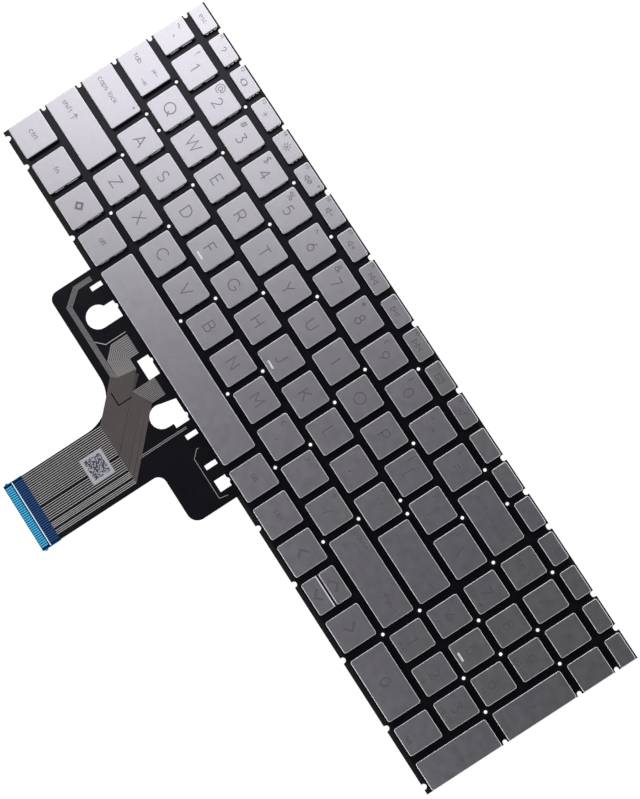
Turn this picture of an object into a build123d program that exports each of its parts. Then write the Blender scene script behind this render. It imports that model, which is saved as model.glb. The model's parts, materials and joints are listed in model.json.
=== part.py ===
from build123d import *
from math import asin, atan2, cos, degrees, pi
import os

# Laptop replacement keyboard with a number pad, all sizes in millimetres.
# X runs along the rows to the right, Y towards the function row, Z up.
# The origin is the middle of the base plate's underside.

# Key grid
key_pitch = 18.7
row_pitch = 18.4
key_gap = 3.35
half_key_gap = 1.35
function_row_depth = 7.4
bottom_row_depth = 16.0
function_gap = 3.18
pad_pitch = 16.55
pad_gap = 3.8

# Widths of the keys that start or end a row
escape_width = 12.7
grave_width = 11.25
backspace_width = 28.4
tab_width = 20.6
caps_lock_width = 25.3
left_shift_width = 34.65
left_ctrl_width = 15.95

# Base plate around the keys
left_margin = 0.8
right_margin = 0.35
top_margin = 0.9
bottom_margin = 2.8
plate_thickness = 0.4
stake_hole_radius = 1.0
stake_hole_sides = 6
stake_shift = 0.6
left_twin_spacing = 9.1
right_twin_spacing = 6.3
notch_radius = 1.3
side_notch_radius = 1.0
notch_depth = 1.8
notch_corner = 0.6
notch_sides = 8
corner_notch_inset = 3.4

# Membrane switch: a laminated film with a tail
film_thickness = 0.3
film_inset = 1.9
film_hole_radius = 1.7
film_hole_sides = 6

# Tail of the film, measured from the space bar's left end and from the plate's lower edge
tail_start = -4.6
tail_width = 116.75
lobe_length = 21.6
tail_corner = 4.0
lobe_corner = 5.0
arm_start = 58.9
arm_length = 81.6
arm_bend = 17.0
arm_corner = 4.0
contact_count = 30
contact_pitch = 1.0
contact_margin = 1.5
opening_rise = 1.0
opening_depth = 5.5
slot_width = 2.2
slot_starts = (6.5, 82.8, 98.1)
large_opening_start = 44.7
large_opening_width = 9.75
small_opening_start = 105.8
small_opening_width = 5.5
round_hole_radius = 5.4
round_hole_sides = 20
round_hole_drop = 8.3
first_keyhole_start = 14.0
first_keyhole_neck = 8.2
second_keyhole_start = 65.1
second_keyhole_neck = 10.9
second_keyhole_lean = 2.1
second_keyhole_step = 2.3
nub_offset = 2.8

# Stiffener under the contacts
stiffener_thickness = 0.2
stiffener_length = 9.0
stiffener_overhang = 0.3
ear_width = 0.5
ear_length = 1.4
ear_setback = 1.6

# Key caps
travel = 1.4
press_clearance = 0.2
cap_height = 1.3
cap_top = 0.7
cap_wall = 0.7
cap_corner = 1.0

# Rubber domes and scissor frames
dome_radius = 3.0
dome_top_share = 0.5
dome_sides = 6
dome_clearance = 0.15
frame_length = 11.0
frame_depth = 10.0
frame_bar = 0.5
frame_thickness = 0.5
frame_gap = 0.15
frame_clearance = 0.05
pocket_clearance = 0.2

# Stabiliser wire of the space bar
wire_radius = 0.3
wire_arm = 9.0
wire_end_inset = 6.0
wire_hook = 3.0
wire_wall_gap = 0.6
wire_clearance = 0.05

# Levels from the plate's underside
film_base = plate_thickness
film_top = film_base + film_thickness
skirt_level = film_top + press_clearance + travel
ceiling_level = skirt_level + cap_height - cap_top

# Widths and depths that follow from the grid
cap_width = key_pitch - key_gap
cap_depth = row_pitch - key_gap
pad_cap_width = pad_pitch - key_gap
block_width = grave_width + key_gap + 12 * key_pitch + backspace_width
pad_width = 3 * pad_pitch + pad_cap_width
plate_width = left_margin + block_width + pad_gap + pad_width + right_margin
function_pitch = (block_width - escape_width) / 15
arm_width = (contact_count - 1) * contact_pitch + 2 * contact_margin

# Rows from the bottom up: each has the level of its lower edge
bottom_offset = bottom_margin
shift_offset = bottom_offset + bottom_row_depth + key_gap
caps_offset = shift_offset + row_pitch
tab_offset = caps_offset + row_pitch
number_offset = tab_offset + row_pitch
function_offset = number_offset + cap_depth + key_gap
plate_depth = function_offset + function_row_depth + top_margin

plate_left = -plate_width / 2
plate_right = plate_width / 2
plate_bottom = -plate_depth / 2
plate_top = plate_depth / 2
block_left = plate_left + left_margin
block_right = block_left + block_width
pad_left = block_right + pad_gap


def area(left, right, offset, depth):
    """Corners of a key: its left and right edge, and its lower and upper edge."""
    low = plate_bottom + offset
    return (left, right, low, low + depth)


def key_row(names, first_width, offset, depth):
    """A first key, standard keys one pitch apart, and a last key up to the block's edge."""
    left = block_left + first_width + key_gap
    row = {names[0]: area(block_left, left - key_gap, offset, depth)}
    for name in names[1:-1]:
        row[name] = area(left, left + cap_width, offset, depth)
        left += key_pitch
    row[names[-1]] = area(left, block_right, offset, depth)
    return row


def pad_key(column, offset, depth, columns=1):
    left = pad_left + column * pad_pitch
    right = left + (columns - 1) * pad_pitch + pad_cap_width
    return area(left, right, offset, depth)


def bottom_row():
    """Four keys from the left, five places from the right, and the space bar between them."""
    names = ("left_ctrl", "fn", "system", "left_alt", "space")
    row = key_row(names, left_ctrl_width, bottom_offset, bottom_row_depth)
    right_names = ("right_alt", "right_ctrl", "left_arrow", "up_arrow", "right_arrow")
    left = block_right - 4 * key_pitch - cap_width
    space_left = row["space"][0]
    row["space"] = area(space_left, left - key_gap, bottom_offset, bottom_row_depth)
    for name in right_names:
        row[name] = area(left, left + cap_width, bottom_offset, bottom_row_depth)
        left += key_pitch
    arrow_left, arrow_right = row["up_arrow"][:2]
    arrow_depth = (bottom_row_depth - half_key_gap) / 2
    upper_offset = bottom_offset + arrow_depth + half_key_gap
    row["up_arrow"] = area(arrow_left, arrow_right, upper_offset, arrow_depth)
    row["down_arrow"] = area(arrow_left, arrow_right, bottom_offset, arrow_depth)
    return row


def function_row():
    left = block_left + escape_width + function_gap
    keys = [area(block_left, left - function_gap, function_offset, function_row_depth)]
    for _ in range(15):
        right = left + function_pitch - function_gap
        keys.append(area(left, right, function_offset, function_row_depth))
        left += function_pitch
    for column in range(4):
        keys.append(pad_key(column, function_offset, function_row_depth))
    return keys


def number_pad():
    keys = []
    for column in range(4):
        keys.append(pad_key(column, number_offset, cap_depth))
    for offset in (tab_offset, caps_offset, shift_offset):
        for column in range(3):
            keys.append(pad_key(column, offset, cap_depth))
    keys.append(pad_key(3, caps_offset, row_pitch + cap_depth))
    tall_depth = shift_offset + cap_depth - bottom_offset
    keys.append(pad_key(3, bottom_offset, tall_depth))
    keys.append(pad_key(0, bottom_offset, bottom_row_depth, columns=2))
    keys.append(pad_key(2, bottom_offset, bottom_row_depth))
    return keys


tab_names = ["tab", *"qwertyuiop", "left_bracket", "right_bracket", "backslash"]
caps_names = ["caps_lock", *"asdfghjkl", "semicolon", "quote", "enter"]
shift_names = ["left_shift", *"zxcvbnm", "comma", "period", "slash", "right_shift"]
number_names = ["grave", *"1234567890", "minus", "equals", "backspace"]

tab_row = key_row(tab_names, tab_width, tab_offset, cap_depth)
caps_row = key_row(caps_names, caps_lock_width, caps_offset, cap_depth)
shift_row = key_row(shift_names, left_shift_width, shift_offset, cap_depth)
number_row = key_row(number_names, grave_width, number_offset, cap_depth)

moving_keys = {**tab_row, **caps_row, **shift_row, **bottom_row()}
fixed_groups = {
    "function_row_keycaps": function_row(),
    "number_row_keycaps": list(number_row.values()),
    "number_pad_keycaps": number_pad(),
}
all_keys = list(moving_keys.values())
for group in fixed_groups.values():
    all_keys += group

space_left = moving_keys["space"][0]
tail_left = space_left + tail_start
arm_left = tail_left + arm_start
arm_end = plate_bottom - arm_length


def middle(key):
    left, right, low, high = key
    return (left + right) / 2, (low + high) / 2


def gap_after(row, name):
    """Middle of the gap at the right of a key."""
    return row[name][1] + key_gap / 2


def pad_gap_middle(column):
    """Middle of the gap at the left of a number pad column."""
    if column == 0:
        return pad_left - pad_gap / 2
    return pad_left + column * pad_pitch - key_gap / 2


def function_gap_middle(index):
    """Middle of the gap at the right of a function row key."""
    return fixed_groups["function_row_keycaps"][index][1] + function_gap / 2


def gap_below(offset):
    """Middle of the gap under a row."""
    return plate_bottom + offset - key_gap / 2


def main_stakes():
    """Places of the stakes that locate the plate: two pairs at the letters, four at the number pad."""
    level = gap_below(function_offset)
    holes = [(function_gap_middle(index), level) for index in (2, 14)]
    level = gap_below(shift_offset)
    holes += [(gap_after(shift_row, name), level) for name in ("z", "slash")]
    for offset in (number_offset, caps_offset):
        level = gap_below(offset)
        holes += [(pad_gap_middle(column), level) for column in (0, 3)]
    return holes


def other_stakes():
    """Places of the other stakes, which lie in the gaps between the rows too."""
    level = gap_below(function_offset)
    holes = [(function_gap_middle(index), level) for index in (6, 10, 13)]
    holes.append((gap_after(number_row, "4"), level - stake_shift))
    holes.append((pad_gap_middle(1), level))

    level = gap_below(number_offset)
    for name in ("tab", "w", "r", "y", "i", "p", "right_bracket"):
        holes.append((gap_after(tab_row, name), level - stake_shift))
    holes.append((pad_gap_middle(2), level))

    level = gap_below(tab_offset)
    for name in ("caps_lock", "s", "g", "k", "quote"):
        holes.append((gap_after(caps_row, name), level - stake_shift))
    holes.append((gap_after(caps_row, "caps_lock") + left_twin_spacing, level))
    holes.append((gap_after(caps_row, "quote") - right_twin_spacing, level))
    for column in (1, 2):
        holes.append((pad_gap_middle(column), level))

    level = gap_below(caps_offset)
    for name in ("left_shift", "x", "v", "n", "comma", "slash"):
        holes.append((gap_after(shift_row, name), level - stake_shift))
    holes.append((pad_gap_middle(2), level))

    level = gap_below(shift_offset)
    for name in ("v", "n", "comma"):
        holes.append((gap_after(shift_row, name), level))
    holes.append((pad_gap_middle(0), level))
    return holes


def round_notch(radius):
    """A slot with a rounded end, open at its foot, pointing up from an edge through the origin."""
    turn = 180 / notch_sides
    end = Pos(0, notch_depth - radius) * Rot(0, 0, turn) * RegularPolygon(radius, notch_sides)
    return end + Pos(0, (notch_depth - radius) / 2) * Rectangle(2 * radius, notch_depth - radius)


def square_notch():
    width = 2 * notch_radius
    shape = Rectangle(width, 2 * notch_depth)
    top_corners = shape.vertices().group_by(Axis.Y)[-1]
    return chamfer(top_corners, notch_corner)


def tail_openings():
    """Openings of the tail by the plate's edge, and the place of the nub that each one has."""
    top = plate_bottom + opening_rise
    low = plate_bottom + opening_rise - opening_depth
    round_level = plate_bottom - round_hole_drop
    round_hole = RegularPolygon(round_hole_radius, round_hole_sides)

    left = tail_left + large_opening_start
    shapes = [Pos(left + large_opening_width / 2, (top + low) / 2)
              * Rectangle(large_opening_width, opening_depth)]
    nubs = [left + nub_offset]

    left = tail_left + small_opening_start
    shapes.append(Pos(left + small_opening_width / 2, (top + low) / 2)
                  * Rectangle(small_opening_width, opening_depth))
    nubs.append(left + small_opening_width / 2)

    left = tail_left + first_keyhole_start
    right = left + 2 * round_hole_radius
    neck_left = right - first_keyhole_neck
    neck = Pos((neck_left + right) / 2, (top + round_level) / 2)
    shapes.append(neck * Rectangle(first_keyhole_neck, top - round_level)
                  + Pos(left + round_hole_radius, round_level) * round_hole)
    nubs.append(neck_left + nub_offset)

    left = tail_left + second_keyhole_start
    right = left + second_keyhole_lean + second_keyhole_neck
    step = left + 2 * round_hole_radius
    outline = [
        (left + second_keyhole_lean, top),
        (right, top),
        (right, low - second_keyhole_step / 2),
        (step, low - second_keyhole_step / 2),
        (step, round_level),
        (left, round_level),
    ]
    shapes.append(Polygon(*outline, align=None)
                  + Pos(left + round_hole_radius, round_level) * round_hole)
    nubs.append(right - nub_offset)
    return shapes, nubs


def tail_slots():
    low = plate_bottom + opening_rise - opening_depth
    slots = []
    for start in slot_starts:
        place = Pos(tail_left + start + slot_width / 2, low + opening_depth / 2)
        slots.append(place * Rectangle(slot_width, opening_depth))
    return slots


def base_plate():
    """A sheet with stake holes between the keys and notches along its edges."""
    sheet = Rectangle(plate_width, plate_depth)
    round_hole = Circle(stake_hole_radius)
    plain_hole = RegularPolygon(stake_hole_radius, stake_hole_sides)
    cuts = [Pos(x, y) * round_hole for x, y in main_stakes()]
    cuts += [Pos(x, y) * plain_hole for x, y in other_stakes()]

    top_places = [function_gap_middle(index) for index in (0, 1, 3, 5, 7, 9, 11, 13, 14)]
    top_places += [pad_gap_middle(column) for column in (0, 2, 3)]
    for x in top_places:
        cuts.append(Pos(x, plate_top) * Rot(0, 0, 180) * square_notch())

    offsets = (function_offset, number_offset, tab_offset, caps_offset, shift_offset)
    for offset in offsets:
        place = Pos(plate_left, gap_below(offset))
        cuts.append(place * Rot(0, 0, -90) * round_notch(side_notch_radius))
    for offset in (function_offset, number_offset, caps_offset):
        place = Pos(plate_right, gap_below(offset))
        cuts.append(place * Rot(0, 0, 90) * round_notch(side_notch_radius))

    openings, nubs = tail_openings()
    bottom_places = [
        plate_left + corner_notch_inset,
        gap_after(moving_keys, "left_ctrl"),
        gap_after(moving_keys, "system"),
        middle(moving_keys["right_ctrl"])[0],
        gap_after(moving_keys, "left_arrow"),
        pad_gap_middle(0),
        pad_gap_middle(2),
        plate_right - corner_notch_inset,
    ]
    for x in bottom_places + nubs:
        cuts.append(Pos(x, plate_bottom) * round_notch(notch_radius))
    return extrude(sheet - cuts - openings - tail_slots(), plate_thickness)


def near(sketch, x, y):
    return sketch.vertices().sort_by_distance((x, y, 0))[0]


def tail_outline():
    """The lobe beside the plate and the arm that carries the contacts."""
    lobe_low = plate_bottom - lobe_length
    tail_right = tail_left + tail_width
    arm_right = arm_left + arm_width
    root = plate_bottom + film_inset
    corners = [
        (tail_left, root),
        (tail_left, lobe_low),
        (arm_left, lobe_low),
        (arm_left, arm_end),
        (arm_right, arm_end),
        (arm_right, lobe_low),
        (tail_right, lobe_low),
        (tail_right, root),
    ]
    outline = Polygon(*corners, align=None)
    outline = fillet(near(outline, tail_left, lobe_low), tail_corner)
    outline = fillet(near(outline, arm_left, lobe_low), arm_bend)
    outline = fillet(near(outline, arm_right, lobe_low), arm_corner)
    return fillet(near(outline, tail_right, lobe_low), lobe_corner)


def membrane_switch():
    """The film under the keys and its tail, with clearance round each stake."""
    sheet = Rectangle(plate_width - 2 * film_inset, plate_depth - 2 * film_inset)
    sheet += tail_outline()
    hole = RegularPolygon(film_hole_radius, film_hole_sides)
    cuts = [Pos(x, y) * hole for x, y in main_stakes() + other_stakes()]
    openings, nubs = tail_openings()
    for x in nubs:
        cuts.append(Pos(x, plate_bottom) * round_notch(notch_radius))
    film = extrude(sheet - cuts - openings - tail_slots(), film_thickness)
    return Pos(0, 0, film_base) * film


def tail_stiffener():
    """A strip under the contacts, a little wider than the arm, with an ear at each side."""
    width = arm_width + 2 * stiffener_overhang
    strip = Pos(0, stiffener_length / 2) * Rectangle(width, stiffener_length)
    strip += Pos(0, ear_setback) * Rectangle(width + 2 * ear_width, ear_length)
    level = film_base - stiffener_thickness
    return Pos(arm_left + arm_width / 2, arm_end, level) * extrude(strip, stiffener_thickness)


def keycap(key):
    """A hollow cap with cut corners over a square pocket."""
    left, right, low, high = key
    width = right - left
    depth = high - low
    outline = Rectangle(width, depth)
    outline = chamfer(outline.vertices(), cap_corner)
    pocket = Rectangle(width - 2 * cap_wall, depth - 2 * cap_wall)
    cap = extrude(outline, cap_height) - extrude(pocket, cap_height - cap_top)
    x, y = middle(key)
    return Pos(x, y, skirt_level) * cap


def frame_depths(key):
    """Depth of the outer and of the inner scissor frame that the cap's pocket has room for."""
    pocket = key[3] - key[2] - 2 * (cap_wall + pocket_clearance)
    outer = min(frame_depth, pocket)
    return outer, outer - 2 * (frame_bar + frame_gap)


def dome(key):
    """A rubber dome from the film up to the cap."""
    opening = frame_depths(key)[1] - 2 * frame_bar
    radius = min(dome_radius, opening / 2 - dome_clearance)
    height = ceiling_level - film_top
    inset = radius * cos(pi / dome_sides) * (1 - dome_top_share)
    slope = degrees(atan2(inset, height))
    x, y = middle(key)
    return Pos(x, y, film_top) * extrude(RegularPolygon(radius, dome_sides), height, taper=slope)


def scissor_frame(key, length, depth, turn):
    """A U-shaped frame that leans from the film up to the cap."""
    room = ceiling_level - film_top - 2 * frame_clearance
    lean = degrees(asin((room - frame_thickness) / length))
    outline = Rectangle(length, depth)
    outline -= Pos(frame_bar, 0) * Rectangle(length, depth - 2 * frame_bar)
    frame = Pos(0, 0, -frame_thickness / 2) * extrude(outline, frame_thickness)
    x, y = middle(key)
    level = (ceiling_level + film_top) / 2
    return Pos(x, y, level) * Rot(0, 0, turn) * Rot(0, -lean, 0) * frame


def outer_frame(key):
    return scissor_frame(key, frame_length, frame_depths(key)[0], 0)


def inner_frame(key):
    length = frame_length - 2 * (frame_bar + frame_gap)
    return scissor_frame(key, length, frame_depths(key)[1], 180)


def space_bar_wire():
    """A bent wire: a long bar under the cap, two arms down to the film and a hook on each."""
    left, right, low, high = moving_keys["space"]
    bar_y = high - cap_wall - wire_wall_gap - wire_radius
    bar_z = ceiling_level - wire_radius - wire_clearance
    foot_z = film_top + wire_radius + wire_clearance
    foot_y = bar_y - (wire_arm ** 2 - (bar_z - foot_z) ** 2) ** 0.5
    left_arm = left + wire_end_inset
    right_arm = right - wire_end_inset
    path = Polyline(
        (left_arm + wire_hook, foot_y, foot_z),
        (left_arm, foot_y, foot_z),
        (left_arm, bar_y, bar_z),
        (right_arm, bar_y, bar_z),
        (right_arm, foot_y, foot_z),
        (right_arm - wire_hook, foot_y, foot_z),
    )
    start = Plane(origin=path @ 0, z_dir=path % 0)
    return sweep(start * Circle(wire_radius), path=path, transition=Transition.RIGHT)


def group_of(solids):
    return Compound(children=[piece.solid() for piece in solids])


parts = {
    "base_plate": base_plate(),
    "membrane_switch": membrane_switch(),
    "tail_stiffener": tail_stiffener(),
    "rubber_domes": group_of(dome(key) for key in all_keys),
    "scissor_outer_frames": group_of(outer_frame(key) for key in moving_keys.values()),
    "scissor_inner_frames": group_of(inner_frame(key) for key in moving_keys.values()),
    "space_bar_wire": space_bar_wire(),
}
for name, group in fixed_groups.items():
    parts[name] = group_of(keycap(key) for key in group)
for name, key in moving_keys.items():
    parts["key_" + name] = keycap(key)

os.makedirs("parts", exist_ok=True)
for name, shape in parts.items():
    export_step(shape, "parts/" + name + ".step")
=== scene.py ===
import json
import math

import bpy
import numpy as np
from mathutils import Matrix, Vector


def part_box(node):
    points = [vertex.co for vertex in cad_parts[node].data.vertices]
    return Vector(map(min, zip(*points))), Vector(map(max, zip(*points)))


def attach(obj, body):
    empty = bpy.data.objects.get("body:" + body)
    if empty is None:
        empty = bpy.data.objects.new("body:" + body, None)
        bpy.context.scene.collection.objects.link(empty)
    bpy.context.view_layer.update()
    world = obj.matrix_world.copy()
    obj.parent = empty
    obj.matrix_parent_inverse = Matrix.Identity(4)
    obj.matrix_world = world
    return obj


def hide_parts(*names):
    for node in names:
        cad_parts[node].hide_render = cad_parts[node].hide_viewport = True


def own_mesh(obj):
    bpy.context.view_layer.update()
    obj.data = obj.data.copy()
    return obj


mm = 0.001
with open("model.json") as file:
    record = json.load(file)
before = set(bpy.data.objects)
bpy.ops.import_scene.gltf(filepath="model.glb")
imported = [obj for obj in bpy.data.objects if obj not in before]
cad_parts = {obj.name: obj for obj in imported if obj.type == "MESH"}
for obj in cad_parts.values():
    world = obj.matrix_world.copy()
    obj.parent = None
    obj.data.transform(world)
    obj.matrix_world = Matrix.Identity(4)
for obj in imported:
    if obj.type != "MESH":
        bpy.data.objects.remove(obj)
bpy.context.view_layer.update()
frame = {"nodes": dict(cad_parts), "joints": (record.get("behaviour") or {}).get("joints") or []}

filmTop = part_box("membrane_switch")[1].z
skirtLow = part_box("key_q")[0].z
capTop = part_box("key_q")[1].z
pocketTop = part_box("rubber_domes")[1].z
travel = next(j for j in frame["joints"] if j["name"] == "press_q")["range_m"][1]


class Wire:  # one output socket; sums and products on it add Math nodes
    def __init__(self, tree, socket):
        self.tree = tree
        self.socket = socket

    def join(self, operation, first, second):
        node = self.tree.nodes.new("ShaderNodeMath")
        node.operation = operation
        for slot, value in zip(node.inputs, (first, second)):
            if isinstance(value, Wire):
                self.tree.links.new(value.socket, slot)
            else:
                slot.default_value = value
        return Wire(self.tree, node.outputs[0])

    def __add__(self, other):
        return self.join("ADD", self, other)

    def __radd__(self, other):
        return self.join("ADD", other, self)

    def __sub__(self, other):
        return self.join("SUBTRACT", self, other)

    def __rsub__(self, other):
        return self.join("SUBTRACT", other, self)

    def __mul__(self, other):
        return self.join("MULTIPLY", self, other)

    def __rmul__(self, other):
        return self.join("MULTIPLY", other, self)

    def __gt__(self, other):
        return self.join("GREATER_THAN", self, other)

    def __lt__(self, other):
        return self.join("LESS_THAN", self, other)


class Finish:  # a node tree with one way to add nodes
    def __init__(self, tree):
        self.tree = tree

    def put(self, slot, value):
        if isinstance(value, Wire):
            self.tree.links.new(value.socket, slot)
        else:
            slot.default_value = value

    def set(self, socket, value):  # a socket of the finish's own shader
        self.put(self.shader.inputs[socket], value)

    def node(self, kind, settings=None, values=None, output=0):
        made = self.tree.nodes.new("ShaderNode" + kind)
        for name, value in (settings or {}).items():
            if name == "stops":
                ramp = made.color_ramp
                while len(ramp.elements) < len(value):
                    ramp.elements.new(1.0)
                for element, (place, colour) in zip(ramp.elements, value):
                    element.position = place
                    element.color = colour
            else:
                setattr(made, name, value)
        for name, value in (values or {}).items():
            self.put(made.inputs[name], value)
        return Wire(self.tree, made.outputs[output])

    def place(self):  # Object coordinates, in metres
        return self.node("TexCoord", output=3)

    def axes(self):
        split = self.node("SeparateXYZ", None, {0: self.place()})
        return [Wire(self.tree, s) for s in split.socket.node.outputs]

    def noise(self, scale, detail):
        return self.node("TexNoise", None, {"Vector": self.place(), "Scale": scale, "Detail": detail})

    def blend(self, share, first, second):
        return self.node("Mix", {"data_type": "RGBA"}, {0: share, 6: first, 7: second}, output=2)

    def bump(self, height, strength, distance):
        return self.node("Bump", None, {"Height": height, "Strength": strength, "Distance": distance})


def rgb(red, green, blue):
    return (red, green, blue, 1.0)


def newFinish(name, **fixed):
    material = bpy.data.materials.new(name)
    material.use_nodes = True
    finish = Finish(material.node_tree)
    finish.shader = material.node_tree.nodes["Principled BSDF"]
    finish.material = material
    for socket, value in fixed.items():
        finish.set(socket.replace("_", " "), value)
    return finish


# edgePaint is a painted highlight: a brighter copy of the cap paint, laid on the caps' rounded edges
paint = {"capPaint": (rgb(0.65, 0.632, 0.69), rgb(0.51, 0.496, 0.542)),
         "edgePaint": (rgb(0.86, 0.84, 0.9), rgb(0.72, 0.7, 0.76)),
         "rough": 0.3, "cloud": 260.0, "grain": 5200.0, "flake": 2300.0, "bump": 0.12, "bumpDeep": 0.04}


def paintFinish(name):
    f = newFinish(name, Metallic=1.0)
    silver, shade = paint[name]
    cloud = f.noise(paint["cloud"], 3.0)
    grain = f.noise(paint["grain"], 1.0)
    flake = f.noise(paint["flake"], 1.0)
    f.set("Base Color", f.blend(0.4 * cloud + 0.9 * flake - 0.15, shade, silver))  # mostly flake, some cloud
    f.set("Roughness", paint["rough"] + 0.05 * cloud + 0.03 * grain)
    f.set("Normal", f.bump(grain, paint["bump"], paint["bumpDeep"] * mm))
    return f.material


# two colours mixed by a noise of some scale and detail; the roughness is a base plus a share of the
# noise, or of a grain of its own
looks = {
    "legendInk": {"dark": rgb(0.2, 0.197, 0.208), "pale": rgb(0.24, 0.237, 0.25),
                  "noise": (4200.0, 2.0), "rough": (0.36, 0.08), "metal": 0.84},
    "homingBar": {"dark": rgb(0.78, 0.78, 0.8), "pale": rgb(0.86, 0.86, 0.88),
                  "noise": (3000.0, 2.0), "rough": (0.3, 0.1), "metal": 0.4},
    "traceSilver": {"dark": rgb(0.36, 0.352, 0.352), "pale": rgb(0.46, 0.45, 0.45), "noise": (120.0, 3.0),
                    "grain": (3800.0, 2.0), "rough": (0.5, 0.15), "metal": 0.25, "gloss": 0.3},
    "traceGrey": {"dark": rgb(0.215, 0.208, 0.208), "pale": rgb(0.265, 0.256, 0.256), "noise": (120.0, 3.0),
                  "grain": (3800.0, 2.0), "rough": (0.5, 0.15), "metal": 0.2, "gloss": 0.3},
    "traceBrown": {"dark": rgb(0.085, 0.073, 0.072), "pale": rgb(0.105, 0.092, 0.09),
                   "noise": (140.0, 4.0), "rough": (0.45, 0.15), "gloss": 0.3},
    "bandBrown": {"dark": rgb(0.04, 0.033, 0.033), "pale": rgb(0.056, 0.046, 0.045),
                  "noise": (160.0, 4.0), "rough": (0.4, 0.15), "gloss": 0.3},
    "contactInk": {"dark": rgb(0.03, 0.42, 0.72), "pale": rgb(0.05, 0.52, 0.86),
                   "noise": (2800.0, 2.0), "rough": (0.35, 0.15), "metal": 0.1},
    "bandWhite": {"dark": rgb(0.7, 0.78, 0.84), "pale": rgb(0.82, 0.87, 0.9),
                  "noise": (1800.0, 2.0), "rough": (0.4, 0.1)},
    "lineBlue": {"dark": rgb(0.012, 0.06, 0.17), "pale": rgb(0.02, 0.09, 0.24),
                 "noise": (1500.0, 2.0), "rough": (0.35, 0.15)},
    "stiffenerBlue": {"dark": rgb(0.01, 0.18, 0.42), "pale": rgb(0.02, 0.25, 0.52),
                      "noise": (700.0, 3.0), "rough": (0.3, 0.15)},
    "framePlastic": {"dark": rgb(0.84, 0.84, 0.83), "pale": rgb(0.92, 0.92, 0.91),
                     "noise": (1200.0, 3.0), "rough": (0.4, 0.15)},
}


def mixedFinish(name):
    look = looks[name]
    f = newFinish(name, Metallic=look.get("metal", 0.0), Specular_IOR_Level=look.get("gloss", 0.5))
    cloud = f.noise(*look["noise"])
    grain = f.noise(*look["grain"]) if "grain" in look else cloud
    base, share = look["rough"]
    f.set("Base Color", f.blend(cloud, look["dark"], look["pale"]))
    f.set("Roughness", base + share * grain)
    return f.material


def plateFinish():
    f = newFinish("plateCoat", Specular_IOR_Level=0.3)
    cloud = f.noise(90.0, 4.0)
    grain = f.noise(3500.0, 2.0)
    f.set("Base Color", f.blend(cloud, rgb(0.0015, 0.0015, 0.0018), rgb(0.003, 0.003, 0.0034)))
    f.set("Roughness", 0.42 + 0.12 * grain)
    f.set("Normal", f.bump(grain, 0.2, 0.00005))
    return f.material


film = {"clearFrom": -124.6, "black": rgb(0.0053, 0.0048, 0.0066), "worn": rgb(0.007, 0.0063, 0.0086),
        "blue": rgb(0.002, 0.023, 0.085), "deep": rgb(0.0015, 0.016, 0.06)}


def filmFinish():
    f = newFinish("filmPrint", Specular_IOR_Level=0.29, Specular_Tint=rgb(0.87, 0.85, 1.0))
    cloud = f.noise(140.0, 4.0)
    grain = f.noise(2600.0, 2.0)
    clear = f.axes()[1] < film["clearFrom"] * mm  # the far end has no black print
    black = f.blend(cloud, film["black"], film["worn"])
    blue = f.blend(cloud, film["deep"], film["blue"])
    f.set("Base Color", f.blend(clear, black, blue))
    f.set("Roughness", 0.2 + 0.1 * cloud - 0.1 * clear)
    f.set("Normal", f.bump(grain, 0.12, 0.00004))
    return f.material


def rubberFinish():
    f = newFinish("domeRubber", Roughness=0.55, Subsurface_Weight=0.2,
                  Subsurface_Radius=(0.001, 0.001, 0.001))
    cloud = f.noise(900.0, 3.0)
    f.set("Base Color", f.blend(cloud, rgb(0.58, 0.58, 0.56), rgb(0.7, 0.7, 0.68)))
    return f.material


def wireFinish():
    f = newFinish("wireSteel", Metallic=1.0)
    along = f.node("Mapping", None, {"Vector": f.place(), "Scale": (40.0, 6000.0, 6000.0)})  # drawn lines
    drawn = f.node("TexNoise", None, {"Vector": along, "Scale": 1.0, "Detail": 2.0})
    f.set("Base Color", f.blend(drawn, rgb(0.45, 0.45, 0.46), rgb(0.62, 0.62, 0.63)))
    f.set("Roughness", 0.25 + 0.2 * drawn)
    return f.material


sticker = {"left": -28.8, "right": -16.7, "low": -100.4, "high": -89.6, "thick": 0.08, "corner": 0.5,
           "cell": 0.36, "code": (9.36, 7.92), "paleShare": 0.4, "paper": rgb(0.4, 0.4, 0.46),
           "paperShade": rgb(0.37, 0.37, 0.42), "tone": rgb(0.028, 0.03, 0.048)}


def stickerFinish():
    # a grid of cells, each dark or pale by a chance of its own, on pale paper
    f = newFinish("stickerPaper", Roughness=0.55)
    x, y = f.axes()[:2]
    wide, tall = (v * mm for v in sticker["code"])
    u = x - ((sticker["left"] + sticker["right"]) * mm - wide) / 2
    v = y - ((sticker["low"] + sticker["high"]) * mm - tall) / 2
    inside = (u > 0) * (u < wide) * (v > 0) * (v < tall)
    count = 1 / (sticker["cell"] * mm)
    cell = f.node("CombineXYZ", None, {0: (u * count).join("FLOOR", u * count, 0.0),
                                       1: (v * count).join("FLOOR", v * count, 0.0)})
    chance = f.node("TexWhiteNoise", {"noise_dimensions": "2D"}, {"Vector": cell})
    dark = (chance > sticker["paleShare"]) * inside
    fibre = f.noise(2400.0, 3.0)
    paper = f.blend(fibre, sticker["paperShade"], sticker["paper"])
    f.set("Base Color", f.blend(dark, paper, sticker["tone"]))
    return f.material


finishes = {name: mixedFinish(name) for name in looks}
finishes.update({name: paintFinish(name) for name in ("capPaint", "edgePaint")})
finishes.update({"plateCoat": plateFinish(), "filmPrint": filmFinish(), "domeRubber": rubberFinish(),
                 "wireSteel": wireFinish(), "stickerPaper": stickerFinish()})
print("finishes made:", len(finishes))


def dress(*names):
    return [finishes[name] for name in names]


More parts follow.
